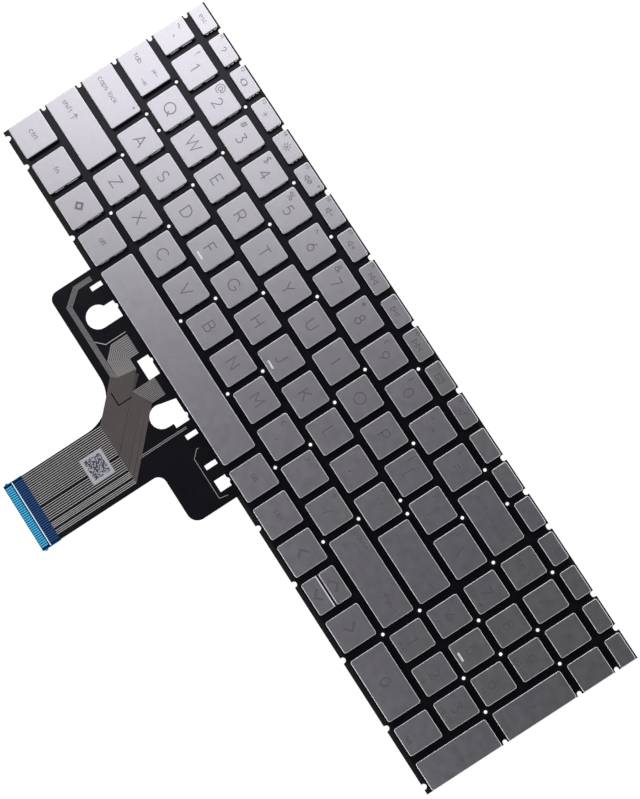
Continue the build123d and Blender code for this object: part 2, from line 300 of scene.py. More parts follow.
class Surface:  # gathers grids of points and their faces into one mesh object
    def __init__(self):
        self.points = []
        self.faces = []
        self.slots = []
        self.count = 0

    def add(self, points, faces, slot=0):  # one slot, or one for each block of faces
        self.points.append(np.asarray(points, float).reshape(-1, 3))
        for block, number in zip(faces, np.broadcast_to(slot, len(faces)).tolist()):
            block = np.asarray(block) + self.count
            self.faces += block.tolist()
            self.slots += [number] * len(block)
        self.count += len(self.points[-1])

    def build(self, name, materials, smoothAngle=40):
        mesh = bpy.data.meshes.new(name)
        mesh.from_pydata(np.concatenate(self.points).tolist(), [], self.faces)
        mesh.polygons.foreach_set("material_index", np.array(self.slots, np.int32))
        for material in materials:
            mesh.materials.append(material)
        mesh.shade_smooth()
        mesh.set_sharp_from_angle(angle=math.radians(smoothAngle))
        mesh.update()
        made = bpy.data.objects.new(name, mesh)
        bpy.context.scene.collection.objects.link(made)
        return made


def gridFaces(rows, columns, wrapRows=False, wrapColumns=False):
    # quads of a grid; the face normal is the row step crossed with the column step
    i = np.arange(rows if wrapRows else rows - 1)[:, None]
    j = np.arange(columns if wrapColumns else columns - 1)[None, :]
    up, on = (i + 1) % rows, (j + 1) % columns
    quads = [i * columns + j, up * columns + j, up * columns + on, i * columns + on]
    return np.stack(quads, -1).reshape(-1, 4)


def lids(rows, columns):
    # the first ring as it runs, and the last one turned round
    first = np.arange(columns)[None, :]
    return [first, (rows - 1) * columns + first[:, ::-1]]


def roundedRings(centre, size, radius, insets, heights, steps=5):
    # rings of a rounded rectangle: quarter arcs at four corners, drawn in by each inset at its height
    insets = np.asarray(insets, float)[:, None]
    heights = np.asarray(heights, float)[:, None]
    corner = np.repeat(np.arange(4), steps + 1)
    angle = corner * np.pi / 2 + np.tile(np.linspace(0, np.pi / 2, steps + 1), 4)
    signX = np.array([1, -1, -1, 1])[corner]
    signY = np.array([1, 1, -1, -1])[corner]
    bend = np.maximum(radius - insets, 0.05 * mm)  # no corner closes to a point
    x = centre[0] + signX * (size[0] / 2 - insets - bend) + bend * np.cos(angle)
    y = centre[1] + signY * (size[1] / 2 - insets - bend) + bend * np.sin(angle)
    points = np.stack([x, y, np.broadcast_to(heights, x.shape)], -1)
    faces = [gridFaces(len(insets), len(corner), wrapColumns=True)] + lids(len(insets), len(corner))
    return points, faces


def turnedRings(centre, radii, heights, sides):
    # a profile of radius against height, turned about an upright axis
    angle = np.linspace(0, 2 * np.pi, sides, endpoint=False)
    radii = np.asarray(radii, float)[:, None]
    x = centre[0] + radii * np.cos(angle)
    y = centre[1] + radii * np.sin(angle)
    points = np.stack([x, y, np.broadcast_to(np.asarray(heights, float)[:, None], x.shape)], -1)
    return points, [gridFaces(len(radii), sides, wrapColumns=True)] + lids(len(radii), sides)


def flatBar(path, width, low, high):
    # a rectangle carried along a flat path; at a bend the sides move out along the mean of the two
    # normals by half the width over the cosine of half the bend
    path = np.asarray(path, float)
    closed = len(path) > 3 and np.allclose(path[0], path[-1])
    if closed:
        path = path[:-1]
    after = np.roll(path, -1, axis=0) - path
    if not closed:
        after[-1] = after[-2]
    after /= np.linalg.norm(after, axis=1)[:, None]
    normal = np.stack([-after[:, 1], after[:, 0]], -1)
    before = np.roll(normal, 1, axis=0)
    if not closed:
        before[0] = normal[0]
    mean = normal + before
    mean /= np.maximum(np.linalg.norm(mean, axis=1), 1e-6)[:, None]
    reach = np.asarray(width) / 2 / np.maximum((mean * normal).sum(1), 0.4)
    side = mean * reach[:, None]
    low = np.broadcast_to(low, len(path))
    high = np.broadcast_to(high, len(path))
    right, left = path - side, path + side
    points = np.stack([np.column_stack([right, low]), np.column_stack([right, high]),
                       np.column_stack([left, high]), np.column_stack([left, low])], 1)
    faces = [gridFaces(len(path), 4, wrapRows=closed, wrapColumns=True)]
    if not closed:
        faces += lids(len(path), 4)
    return points, faces


def prism(profile, start, end, along):
    # a closed profile of across and height, carried straight along x or y
    profile = np.asarray(profile, float)
    across = np.broadcast_to(profile[:, 0], (2, len(profile)))
    height = np.broadcast_to(profile[:, 1], (2, len(profile)))
    run = np.repeat([[start], [end]], len(profile), axis=1)
    points = np.stack([run, across, height] if along == "x" else [across, run, height], -1)
    return points, [gridFaces(2, len(profile), wrapColumns=True)] + lids(2, len(profile))


def readMesh(nodeName):  # the places of a node's corners, and the corners of its triangles
    mesh = frame["nodes"][nodeName].data
    places = np.empty(len(mesh.vertices) * 3, np.float32)
    mesh.vertices.foreach_get("co", places)
    corners = np.empty(len(mesh.loops), np.int32)
    mesh.loops.foreach_get("vertex_index", corners)
    return places.reshape(-1, 3), corners.reshape(-1, 3)


def solidBoxes(nodeName):
    # boxes of the separate solids of a node: corners at one place share a number, and every triangle
    # hands its lowest number on until none changes
    places, corners = readMesh(nodeName)
    welded = np.unique(np.round(places * 1e6).astype(np.int64), axis=0, return_inverse=True)[1].ravel()
    triangles = welded[corners]
    label = np.arange(welded.max() + 1)
    while True:
        fresh = label.copy()
        np.minimum.at(fresh, triangles.ravel(), np.repeat(label[triangles].min(axis=1), 3))
        if np.array_equal(fresh, label):
            break
        label = fresh
    solid = label[welded]
    return [(places[solid == s].min(0), places[solid == s].max(0)) for s in np.unique(solid)]


# a stroke is a run of corners "x,y" and arcs "@x,y,rx,ry,from,to" in degrees, in heights of a capital;
# the number in front is the width
glyphs = {
    "A": ".86 0,0 .43,1 .86,0|.15,.33 .71,.33",
    "B": ".66 0,.53 0,1 .36,1 @.36,.765,.235,.235,90,-90 0,.53"
         "|0,.53 .4,.53 @.4,.265,.265,.265,90,-90 0,0 0,.53",
    "C": ".84 @.48,.5,.48,.5,46,314",
    "D": ".8 0,0 0,1 .32,1 @.32,.5,.48,.5,90,-90 0,0",
    "E": ".6 .6,1 0,1 0,0 .6,0|0,.52 .52,.52",
    "F": ".58 .58,1 0,1 0,0|0,.5 .5,.5",
    "G": ".92 @.48,.5,.48,.5,46,335 .915,.46 .55,.46",
    "H": ".74 0,0 0,1|.74,0 .74,1|0,.5 .74,.5",
    "I": ".04 .02,0 .02,1",
    "J": ".48 .48,1 .48,.28 @.24,.28,.24,.28,0,-160",
    "K": ".7 0,0 0,1|.66,1 0,.36|.22,.57 .7,0",
    "L": ".56 0,1 0,0 .56,0",
    "M": ".92 0,0 0,1 .46,.34 .92,1 .92,0",
    "N": ".76 0,0 0,1 .76,0 .76,1",
    "O": "1 @.5,.5,.5,.5,0,360",
    "P": ".64 0,0 0,1 .36,1 @.36,.72,.28,.28,90,-90 0,.44",
    "Q": "1 @.5,.5,.5,.5,0,360|.62,.24 .98,-.1",
    "R": ".66 0,0 0,1 .36,1 @.36,.72,.28,.28,90,-90 0,.44|.36,.44 .66,0",
    "S": ".62 @.31,.75,.28,.25,40,270 @.31,.25,.31,.25,90,-145",
    "T": ".72 0,1 .72,1|.36,1 .36,0",
    "U": ".74 0,1 0,.36 @.37,.36,.37,.36,180,360 .74,1",
    "V": ".84 0,1 .42,0 .84,1",
    "W": "1.3 0,1 .33,0 .65,1 .97,0 1.3,1",
    "X": ".76 0,1 .76,0|0,0 .76,1",
    "Y": ".76 0,1 .38,.46 .76,1|.38,.46 .38,0",
    "Z": ".7 0,1 .7,1 0,0 .7,0",
    "0": ".7 @.35,.5,.35,.5,0,360",
    "1": ".26 0,.84 .26,1 .26,0",
    "2": ".62 @.31,.7,.29,.3,165,-38 0,0 .62,0",
    "3": ".6 .03,1 .57,1|.57,1 .27,.62|@.28,.31,.32,.31,93,-140",
    "4": ".7 .52,0 .52,1|.52,1 0,.3 .7,.3",
    "5": ".6 .54,1 .1,1 @.28,.33,.32,.33,132,-140",
    "6": ".62 .46,1 .06,.46|@.31,.31,.31,.31,0,360",
    "7": ".6 0,1 .6,1 .17,0",
    "8": ".6 @.3,.76,.24,.24,0,360|@.3,.26,.3,.26,0,360",
    "9": ".62 .16,0 .56,.54|@.31,.69,.31,.31,0,360",
    "!": ".04 .02,1.05 .02,.32|.02,.1 .02,0",
    "@": "1.25 @.62,.5,.62,.66,-55,-360 @1.06,.5,.18,.26,0,-180|@.62,.5,.26,.3,0,360",
    "#": ".86 .25,0 .37,1|.55,0 .67,1|.02,.32 .8,.32|.08,.68 .86,.68",
    "$": ".62 @.31,.75,.28,.25,40,270 @.31,.25,.31,.25,90,-145|.31,-.12 .31,1.12",
    "%": ".9 @.18,.78,.18,.2,0,360|@.72,.22,.18,.2,0,360|.75,1 .15,0",
    "^": ".56 0,.6 .28,1 .56,.6",
    "&": ".78 .78,0 .2,.62 @.38,.8,.2,.2,222,-48|.52,.65 .2,.5 @.29,.27,.29,.27,110,320 .76,.46",
    "*": ".6 .3,.35 .3,.95|.04,.5 .56,.8|.04,.8 .56,.5",
    "(": ".3 @.5,.45,.45,.65,140,220",
    ")": ".3 @-.2,.45,.45,.65,40,-40",
    "_": ".6 0,-.05 .6,-.05",
    "-": ".44 0,.42 .44,.42",
    "+": ".6 0,.42 .6,.42|.3,.12 .3,.72",
    "=": ".58 0,.55 .58,.55|0,.29 .58,.29",
    "~": ".68 @.17,.5,.17,.14,180,0 @.51,.5,.17,.14,180,360",
    "`": ".16 0,.62 .16,.42",
    "[": ".22 .22,1.08 0,1.08 0,-.1 .22,-.1",
    "]": ".22 0,1.08 .22,1.08 .22,-.1 0,-.1",
    "{": ".28 .28,1.08 .14,1 .14,.58 .02,.49 .14,.4 .14,-.02 .28,-.1",
    "}": ".28 0,1.08 .14,1 .14,.58 .26,.49 .14,.4 .14,-.02 0,-.1",
    "\\": ".42 0,1 .42,-.05",
    "|": ".04 .02,1.1 .02,-.12",
    "/": ".42 0,-.05 .42,1",
    ":": ".04 .02,.56 .02,.48|.02,.08 .02,0",
    ";": ".08 .04,.56 .04,.48|.06,.08 0,-.14",
    ",": ".08 .06,.08 0,-.14",
    ".": ".04 .02,.08 .02,0",
    "'": ".04 .02,1 .02,.74",
    '"': ".24 .02,1 .02,.74|.22,1 .22,.74",
    "<": ".46 .46,.72 0,.42 .46,.12",
    ">": ".46 0,.72 .46,.42 0,.12",
    "?": ".52 @.26,.74,.26,.26,170,-60 .26,.42 .26,.3|.26,.08 .26,0",
    "a": ".62 @.31,.35,.31,.35,0,360|.62,.7 .62,0",
    "b": ".62 @.31,.35,.31,.35,0,360|0,1 0,0",
    "c": ".58 @.31,.35,.31,.35,45,315",
    "d": ".62 @.31,.35,.31,.35,0,360|.62,1 .62,0",
    "e": ".62 0,.36 .62,.36 @.31,.35,.31,.35,0,310",
    "f": ".36 @.32,.8,.2,.2,75,180 .12,0|0,.66 .32,.66",
    "g": ".62 @.31,.35,.31,.35,0,360|.62,.7 .62,0 @.31,0,.31,.26,0,-150",
    "h": ".54 0,1 0,0|@.27,.42,.27,.28,180,0 .54,0",
    "i": ".04 .02,.7 .02,0|.02,.96 .02,.88",
    "k": ".5 0,1 0,0|.46,.7 0,.26|.15,.4 .5,0",
    "l": ".04 .02,1 .02,0",
    "m": ".88 0,.7 0,0|@.22,.46,.22,.24,180,0 .44,0|@.66,.46,.22,.24,180,0 .88,0",
    "n": ".54 0,.7 0,0|@.27,.42,.27,.28,180,0 .54,0",
    "o": ".62 @.31,.35,.31,.35,0,360",
    "p": ".62 @.31,.35,.31,.35,0,360|0,.7 0,-.28",
    "r": ".34 0,.7 0,0|@.26,.42,.26,.28,180,72",
    "s": ".46 @.23,.53,.2,.17,40,270 @.23,.18,.23,.18,90,-140",
    "t": ".36 .14,.95 .14,.16 @.28,.16,.14,.16,180,285|0,.68 .34,.68",
    "u": ".54 0,.7 0,.28 @.27,.28,.27,.28,180,360 .54,.7|.54,.28 .54,0",
    " ": ".3",
    "arrowLeft": "1.2 1.2,.42 0,.42|.38,.8 0,.42 .38,.04",
    "arrowRight": "1.2 0,.42 1.2,.42|.82,.8 1.2,.42 .82,.04",
    "arrowUp": ".76 .38,-.1 .38,.94|0,.56 .38,.94 .76,.56",
    "arrowDown": ".76 .38,.94 .38,-.1|0,.28 .38,-.1 .76,.28",
    "tabBack": "1.6 .02,0 .02,.84|1.6,.42 .3,.42|.68,.8 .3,.42 .68,.04",
    "tabNext": "1.6 1.58,0 1.58,.84|0,.42 1.3,.42|.92,.8 1.3,.42 .92,.04",
    "chevronLeft": ".5 .5,1 0,.5 .5,0",
    "chevronRight": ".5 0,1 .5,.5 0,0",
    "chevronUp": "1 0,.25 .5,.75 1,.25",
    "chevronDown": "1 0,.75 .5,.25 1,.75",
    "screen": "1.05 .16,.14 .89,.14 .89,.8 .16,.8 .16,.14|.02,.24 .02,.7|1.03,.24 1.03,.7",
    "sunSmall": "1 @.5,.5,.12,.12,0,360|.5,.86 .5,.93|.5,.14 .5,.07|.86,.5 .93,.5|.14,.5 .07,.5"
                "|.755,.755 .8,.8|.245,.245 .2,.2|.245,.755 .2,.8|.755,.245 .8,.2",
    "sunLarge": "1 @.5,.5,.09,.09,0,360|.5,.72 .5,1|.5,.28 .5,0|.72,.5 1,.5|.28,.5 0,.5"
                "|.66,.66 .83,.83|.34,.34 .17,.17|.34,.66 .17,.83|.66,.34 .83,.17",
    "soundOff": "1.2 0,.3 .2,.3 .45,.05 .45,.85 .2,.6 0,.6 0,.3|@.93,.45,.27,.27,0,360|.75,.27 1.11,.63",
    "soundLess": "1.2 0,.3 .2,.3 .45,.05 .45,.85 .2,.6 0,.6 0,.3|.75,.45 1.2,.45",
    "soundMore": "1.2 0,.3 .2,.3 .45,.05 .45,.85 .2,.6 0,.6 0,.3|.72,.45 1.22,.45|.97,.2 .97,.7",
    "trackBack": "1.5 .02,.08 .02,.76|.74,.08 .22,.42 .74,.76 .74,.08|1.48,.08 .96,.42 1.48,.76 1.48,.08",
    "trackPlay": "1.24 0,.08 .58,.42 0,.76 0,.08|.86,.08 .86,.76|1.2,.08 1.2,.76",
    "trackNext": "1.5 1.48,.08 1.48,.76|.76,.08 1.28,.42 .76,.76 .76,.08|.02,.08 .54,.42 .02,.76 .02,.08",
    "keyLight": "1.2 0,.1 1.2,.1 1.2,.8 0,.8 0,.1|.25,.3 .95,.3"
                "|.22,.58 .32,.58|.55,.58 .65,.58|.88,.58 .98,.58",
    "dart": ".95 0,.32 .9,.8 .58,0 .42,.34 0,.32",
    "diamond": "1 0,.5 .5,1 1,.5 .5,0 0,.5",
}

# height of a capital and width of a stroke
legend = {"letter": (5.0, 0.5), "number": (4.6, 0.46), "shifted": (3.1, 0.36), "word": (2.15, 0.29),
          "tiny": (1.45, 0.25), "soft": (2.15, 0.19), "icon": (3.2, 0.35), "faint": (1.6, 0.11),
          "bold": (3.5, 1.0), "sun": (3.9, 0.36), "dim": (2.5, 0.38), "key": (2.0, 0.24),
          "mod": (2.15, 0.37), "firm": (2.3, 0.5), "pad": (4.6, 0.6), "turn": (5.4, 0.95)}
# gap between signs and the middle of small letters, low signs and capitals, in heights of a capital; then mm
writing = {"gap": 0.24, "smallMiddle": 0.35, "lowMiddle": 0.42, "middle": 0.5, "lowSigns": "-+=,.;:<>",
           "arc": 17, "proud": 0.015, "step": 0.002, "sunk": 0.02}


def strokePath(text):
    # corners as they stand; an arc is its centre plus its radii times the cosine and sine of its angles
    runs = []
    for token in text.split():
        if token[0] == "@":
            x, y, rx, ry, start, end = map(float, token[1:].split(","))
            steps = max(4, int(abs(end - start) / writing["arc"]) + 2)
            angle = np.radians(np.linspace(start, end, steps))
            runs.append(np.column_stack([x + rx * np.cos(angle), y + ry * np.sin(angle)]))
        else:
            runs.append(np.array([token.split(",")], float))
    path = np.concatenate(runs)
    apart = np.r_[True, np.linalg.norm(np.diff(path, axis=0), axis=1) > 1e-3]
    return path[apart]


def writeText(surface, text, kind, spot, align):
    # strokes of a word set on a line; spot is the middle of its capitals, or of its small letters
    size, stroke = legend[kind]
    entries = [glyphs[c].split(" ", 1) for c in text]
    widths = [float(e[0]) for e in entries]
    total = sum(widths) + writing["gap"] * (len(widths) - 1)
    pen = {"middle": -total / 2, "left": 0.0, "right": -total}[align]
    base = -writing["middle"]
    if isinstance(text, str) and len(text) > 1 and text[0].islower():
        base = -writing["smallMiddle"]
    elif text[0] in writing["lowSigns"] or text[0].startswith("arrow"):
        base = -writing["lowMiddle"]
    for entry, width in zip(entries, widths):
        for order, run in enumerate(entry[1].split("|") if len(entry) > 1 else []):
            path = (strokePath(run) + (pen, base)) * size * mm + spot
            rise = writing["proud"] + writing["step"] * order  # crossing strokes lie over one another
            surface.add(*flatBar(path, stroke * mm, capTop - writing["sunk"] * mm, capTop + rise * mm), 1)
        pen += width + writing["gap"]


cap = {"corner": 1.0, "wall": 0.7, "bevel": 0.26, "drop": 0.2, "lip": 0.06, "draft": 0.03, "foot": 0.12,
       "steps": 4, "barLength": 4.2, "barWidth": 0.85, "barCorner": 0.4, "barRise": 0.24, "barDrop": 2.1,
       "lamp": 0.5, "apron": 0.3, "apronLow": 3.14, "apronFoot": 0.15, "apronEnd": 0.14, "apronRise": 0.01,
       "toe": 0.7, "toeBack": 0.25, "toeHigh": 1.2, "toeLow": 0.82, "toeWidest": 15.6, "toeDeep": 10.0,
       "lockLamp": (2.6, 2.1), "soundLamp": (2.0, 1.9)}  # the lamps' places, in from the upper right corner


def addCap(surface, low, high):
    # a rounded shell: flat top, quarter-round edge, leaning wall, foot, and the pocket inside
    centre = (low[:2] + high[:2]) / 2
    size = high[:2] - low[:2]
    edge = np.linspace(0, np.pi / 2, cap["steps"] + 1)[::-1]
    bevel, drop, draft, foot = (cap[k] * mm for k in ("bevel", "drop", "draft", "foot"))
    insets = np.concatenate([[draft + bevel + cap["lip"] * mm], draft + bevel * (1 - np.cos(edge)),
                             [0, foot, cap["wall"] * mm, cap["wall"] * mm]])
    heights = np.concatenate([[capTop], capTop - drop * (1 - np.sin(edge)),
                              [skirtLow + foot, skirtLow, skirtLow, pocketTop]])
    points, (rings, *ends) = roundedRings(centre, size, cap["corner"] * mm, insets, heights)
    rings = rings.reshape(len(insets) - 1, -1, 4)
    highlightRows = range(1, cap["steps"] + 1)  # painted highlight: the rounded edge rows take a brighter copy of the cap paint, standing in for the light that the edge catches
    surface.add(points, [*rings, *ends], [3 if k in highlightRows else 0 for k in range(len(rings))] + [0, 0])


def addBar(surface, low, high):  # the raised mark that fingers find
    spot = np.array([(low[0] + high[0]) / 2, low[1] + cap["barDrop"] * mm])
    rise = cap["barRise"] * mm
    insets = np.array([0.26, 0.14, 0.06, 0.0, 0.0]) * mm
    heights = capTop + np.array([1.0, 0.94, 0.8, 0.5, -0.2]) * rise
    size = (cap["barLength"] * mm, cap["barWidth"] * mm)
    surface.add(*roundedRings(spot, size, cap["barCorner"] * mm, insets, heights, 3), 2)


def addApron(surface, low, high, way):
    # the wide sloping edge where the two half-height keys face each other
    edge = high[1] if way > 0 else low[1]
    outer, inner = edge + way * cap["apron"] * mm, edge - way * cap["bevel"] * mm
    foot, lip = skirtLow + cap["apronFoot"] * mm, cap["apronLow"] * mm
    top = capTop + cap["apronRise"] * mm
    profile = [(inner, top), (outer, lip), (outer, foot), (inner, foot)]
    if way < 0:
        profile = [(outer, lip), (inner, top), (inner, foot), (outer, foot)]
    end = cap["apronEnd"] * mm
    surface.add(*prism(profile, low[0] + end, high[0] - end, "x"))


def addToes(surface, low, high, slot):
    # short sloping feet of the frame that show past the edge of the cap
    if high[0] - low[0] > cap["toeWidest"] * mm:
        return
    deep = high[1] - low[1]
    spans = ((0.18, 0.34), (0.44, 0.60), (0.72, 0.84))  # shares of the cap's depth
    if deep > cap["toeDeep"] * mm:
        spans = ((0.14, 0.42), (0.54, 0.86))
    outer, inner = high[0] - cap["toeBack"] * mm, high[0] - cap["toe"] * mm
    toeLow, toeHigh = cap["toeLow"] * mm, cap["toeHigh"] * mm
    profile = [(outer, toeLow), (inner, toeHigh), (inner, filmTop), (outer, filmTop)]
    for start, end in spans:
        surface.add(*prism(profile, low[1] + start * deep, low[1] + end * deep, "y"), slot)


def addLamp(surface, spot):  # the small lamp of a locking key
    r = cap["lamp"] * mm
    heights = capTop + np.array([0.03, 0.02, -0.03]) * mm
    surface.add(*turnedRings(spot, [0.6 * r, 0.9 * r, r], heights, 12), 1)


def writeLegend(surface, marks, low, high):
    # each mark: text, kind, where it is set from, and its offset from there
    middle = (low[:2] + high[:2]) / 2
    corner = np.array([low[0], high[1]])
    starts = {"middle": (middle, "middle"), "upper": (corner, "middle"), "upperLeft": (corner, "left"),
              "left": (np.array([low[0], middle[1]]), "left"),
              "right": (np.array([high[0], middle[1]]), "right")}
    for text, kind, start, dx, dy in marks:
        spot, align = starts[start]
        writeText(surface, text, kind, spot + np.array([dx, dy]) * mm, align)


def single(text, kind="letter"):
    return [(text, kind, "middle", 0, 0)]


def pair(upper, lower):
    return [(upper, "shifted", "upper", 3.2, -3.2), (lower, "number", "middle", 0, 0)]


def padPair(number, note):
    return [(number, "pad", "middle", 0, 0.1), (note, "word", "middle", 0, -5.0)]


keyMarks = {letter: single(letter.upper()) for letter in "qwertyuiopasdfghjklzxcvbnm"}
keyMarks.update({
    "tab": [("tab", "word", "left", 3.0, 0), (("tabBack",), "word", "right", -3.6, 3.0),
            (("tabNext",), "word", "right", -3.6, -3.1)],
    "left_bracket": pair("{", "["), "right_bracket": pair("}", "]"), "backslash": pair("|", "\\"),
    "caps_lock": [("caps lock", "word", "left", 3.0, 0)],
    "semicolon": pair(":", ";"), "quote": pair('"', "'"),
    "enter": [(("arrowLeft",), "soft", "left", 3.4, 0), ("enter", "soft", "right", -3.2, 0)],
    "left_shift": [("shift", "word", "left", 3.0, 0), (("arrowUp",), "icon", "left", 10.3, 0.1)],
    "comma": pair("<", ","), "period": pair(">", "."), "slash": pair("?", "/"),
    "right_shift": [("pause", "word", "upperLeft", 2.6, -2.9), ("shift", "word", "right", -3.2, 0),
                    (("arrowUp",), "icon", "right", -9.8, 0.1)],
    "left_ctrl": single("ctrl", "mod"), "fn": single("fn", "mod"), "system": single(("diamond",), "bold"),
    "left_alt": single("alt", "mod"), "space": [],
    "right_alt": single("alt", "firm"), "right_ctrl": single("ctrl", "firm"),
    "left_arrow": single(("chevronLeft",), "turn"), "right_arrow": single(("chevronRight",), "turn"),
    "up_arrow": single(("chevronUp",), "turn"), "down_arrow": single(("chevronDown",), "turn"),
})


def functionMarks(number, icon):
    kind = {("sunLarge",): "sun", ("sunSmall",): "dim"}.get(icon, "icon")
    return [("f" + str(number), "tiny", "upperLeft", 1.0, -1.5), (icon, kind, "middle", 0, -0.2)]


functionIcons = ("?", ("screen",), ("sunSmall",), ("sunLarge",), ("soundOff",), ("soundLess",),
                 ("soundMore",), ("trackBack",), ("trackPlay",), ("trackNext",), ("keyLight",), ("dart",))
functionWords = ("ins", "prt sc", "del", "home", "end", "pg up", "pg dn")
rowMarks = {
    "function_row_keycaps": [
        single("esc", "key"), *[functionMarks(n + 1, icon) for n, icon in enumerate(functionIcons)],
        *[[(text, "faint", "middle", 0, -0.2)] for text in functionWords]],
    "number_row_keycaps": [
        pair("~", "`"), *[pair(a, b) for a, b in zip("!@#$%^&*()_+", "1234567890-=")],
        [(("arrowLeft",), "word", "left", 3.4, 0), ("backspace", "soft", "right", -3.2, 0)]],
    "number_pad_keycaps": [
        single("num lk", "soft"), single("/", "pad"), single("*", "shifted"), single("-", "pad"),
        padPair("7", "home"), padPair("8", ("arrowUp",)), padPair("9", "pg up"), single("+", "number"),
        padPair("4", ("arrowLeft",)), padPair("5", " "), padPair("6", ("arrowRight",)),
        padPair("1", "end"), padPair("2", ("arrowDown",)), padPair("3", "pg dn"), single("enter", "soft"),
        single("0", "pad"), [(".", "number", "middle", 0, 0.1), ("del", "word", "middle", 0, -5.2)]],
}
# slot 3 is the painted edge highlight, a brighter copy of the cap paint
capMaterials = dress("capPaint", "legendInk", "homingBar", "edgePaint")
keyBoxes = {n: [np.array(v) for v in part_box(n)] for n in frame["nodes"] if n.startswith("key_")}

for node, (low, high) in keyBoxes.items():
    key = node[4:]
    surface = Surface()
    addCap(surface, low, high)
    writeLegend(surface, keyMarks[key], low, high)
    if key in ("f", "j"):
        addBar(surface, low, high)
    if key in ("up_arrow", "down_arrow"):
        addApron(surface, low, high, -1 if key == "up_arrow" else 1)
    if key == "caps_lock":
        addLamp(surface, high[:2] - np.array(cap["lockLamp"]) * mm)
    piece = surface.build("cap_" + key, capMaterials)
    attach(piece, node)
    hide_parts(node)

homingKey, soundKey = 9, 5  # the pad's middle key, and the function key that turns the sound off
for node, marks in rowMarks.items():
    boxes = sorted(solidBoxes(node), key=lambda b: (-round(float(b[1][1]) * 1000), float(b[0][0])))
    surface = Surface()
    for (low, high), keyMark in zip(boxes, marks, strict=True):
        addCap(surface, low, high)
        writeLegend(surface, keyMark, low, high)
    if node == "number_pad_keycaps":
        addBar(surface, *boxes[homingKey])
    if node == "function_row_keycaps":
        addLamp(surface, boxes[soundKey][1][:2] - np.array(cap["soundLamp"]) * mm)
    piece = surface.build("caps_" + node.replace("_keycaps", ""), capMaterials)
    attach(piece, "base")
    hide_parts(node)
print("caps and legends made")

lift = {"sides": 12, "bar": 0.5, "thick": 0.5, "slack": 0.02, "clear": 1.1}


def addDome(surface, low, high):
    # a turned profile: button, shoulder, leaning wall, flange
    centre = (low[:2] + high[:2]) / 2
    radius = (high[0] - low[0]) / 2
    tall = high[2] - low[2] - lift["slack"] * mm
    shares = np.array([0.30, 0.42, 0.46, 0.47, 0.60, 0.82, 0.90, 0.98, 1.0])
    rises = np.array([1.0, 0.985, 0.94, 0.80, 0.70, 0.22, 0.12, 0.09, 0.0])
    surface.add(*turnedRings(centre, radius * shares, low[2] + tall * rises, lift["sides"]), 0)


def addFrame(surface, low, high, side):
    # a square bar along a U: its cross end lies low on one side and its two arms lean up to the other
    half = lift["bar"] / 2 * mm
    ends = (low[0] + half, high[0] - half) if side > 0 else (high[0] - half, low[0] + half)
    y0, y1 = low[1] + half, high[1] - half
    path = [(ends[1], y0), (ends[0], y0), (ends[0], y1), (ends[1], y1)]
    upper, lower = high[2] - half * lift["clear"], low[2] + half * lift["clear"]
    middle = np.array([upper, lower, lower, upper])
    thick = lift["thick"] / 2 * mm
    surface.add(*flatBar(path, lift["bar"] * mm, middle - thick, middle + thick), 1)


domeBoxes = solidBoxes("rubber_domes")
outerBoxes = solidBoxes("scissor_outer_frames")
innerBoxes = solidBoxes("scissor_inner_frames")
groups = ("rubber_domes", "scissor_outer_frames", "scissor_inner_frames")


def inside(boxes, low, high):  # the solid whose middle lies under a cap
    for box in boxes:
        middle = (box[0] + box[1])[:2] / 2
        if ((middle > low[:2]) & (middle < high[:2])).all():
            return box


pressedShare = (pocketTop - travel - filmTop) / (pocketTop - filmTop)
taken = []
for node, (low, high) in keyBoxes.items():
    surface = Surface()
    own = inside(domeBoxes, low, high)
    taken.append(id(own))
    addDome(surface, *own)
    addFrame(surface, *inside(outerBoxes, low, high), 1)
    addFrame(surface, *inside(innerBoxes, low, high), -1)
    addToes(surface, low, high, 1)
    piece = surface.build("lift_" + node[4:], dress("domeRubber", "framePlastic"))
    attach(piece, "base")
    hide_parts(*groups)
    "press_" + node[4:]
    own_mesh(piece)

surface = Surface()
for box in domeBoxes:
    if id(box) not in taken:
        addDome(surface, *box)
for node in rowMarks:
    for box in solidBoxes(node):
        addToes(surface, *box, 1)
piece = surface.build("domes_fixed_rows", dress("domeRubber", "framePlastic"))
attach(piece, "base")
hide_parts("rubber_domes")
print("domes and frames made")

# each bundle: where it begins, and how far it goes on over its traces or with each of them
tail = {"start": -53.9, "fan": -84.6, "slope": 0.94, "armEnd": -124.6, "rise": 0.012, "sunk": 0.01,
        "arm": 0.32, "slant": 0.36, "left": 0.27, "middle": 0.66, "right": 0.37, "band": (-36.0, -7.6),
        "armGroups": ((-36.3, -22.2, 16), (-20.5, -14.6, 7), (-13.1, -10.9, 4), (-9.4, -7.8, 3)),
        "leftCount": 5, "middleCount": 11, "leftLevel": (-69.65, 0.48), "leftSide": (-93.45, 0.48),
        "leftCorner": (-87.25, 0.27), "leftBend": (-62.3, 0.25), "middleLevel": (-66.9, 8.0),
        "middleTop": (-63.2, 8.9), "middleCut": (0.3, 4.7), "rightTop": (-41.2, 8.3),
        "ground": ((-36.6, -84.7), (-7.5, -85.0), (-32.6, -61.4), (-41.4, -64.2), (-46.2, -58.7),
                   (-55.6, -66.6), (-51.6, -70.0)), "groundRise": 0.004,
        "angle": ((-45.9, -73.2), (-39.6, -73.2), (-39.6, -66.7)), "angleWidth": 0.55, "angleRise": 0.02}


